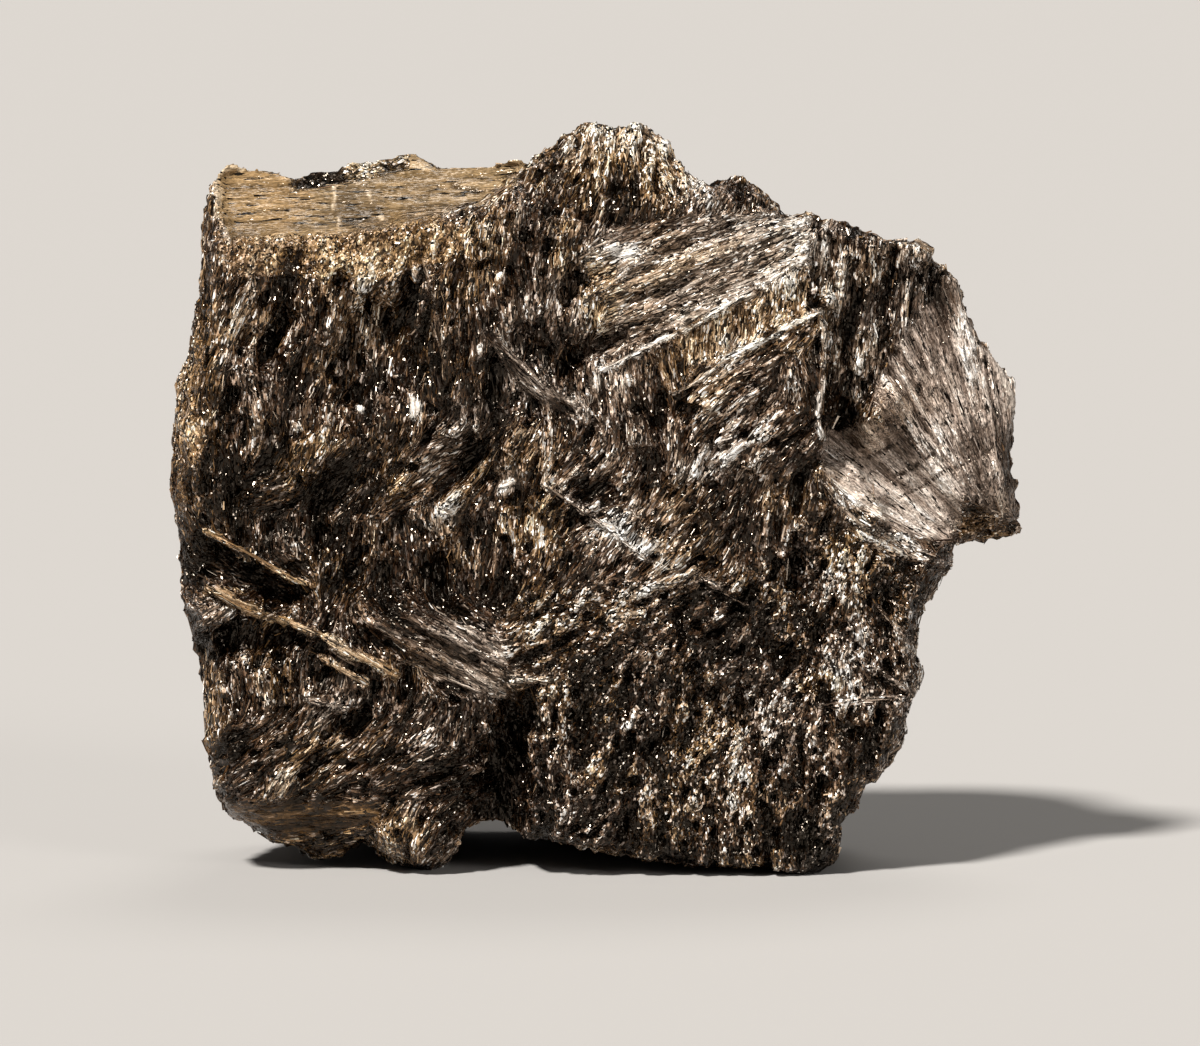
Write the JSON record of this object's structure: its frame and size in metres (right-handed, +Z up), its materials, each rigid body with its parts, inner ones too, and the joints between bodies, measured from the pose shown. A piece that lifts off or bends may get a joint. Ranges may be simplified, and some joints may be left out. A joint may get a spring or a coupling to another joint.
{
  "type": "anthophyllite mineral specimen",
  "caption": "Broken hand specimen of dark brown fibrous crystals with a pale crystal fan and a flat split shelf, standing on its lower edge.",
  "frame": {"origin": "middle of the bounding box in x and y, at the level of the feet that it stands on", "axes": "+Z up, -Y out of the broad crystal face that the picture shows, +X towards the pale fan"},
  "size_m": [0.1032, 0.0488, 0.0905],
  "materials": {
    "anthophyllite": "dark brown fibrous stone with a satin to glassy gloss on its crystals, paler on the fan and the shelf"
  },
  "bodies": {
    "root": {"anthophyllite_mass": "anthophyllite"}
  },
  "joints": []
}
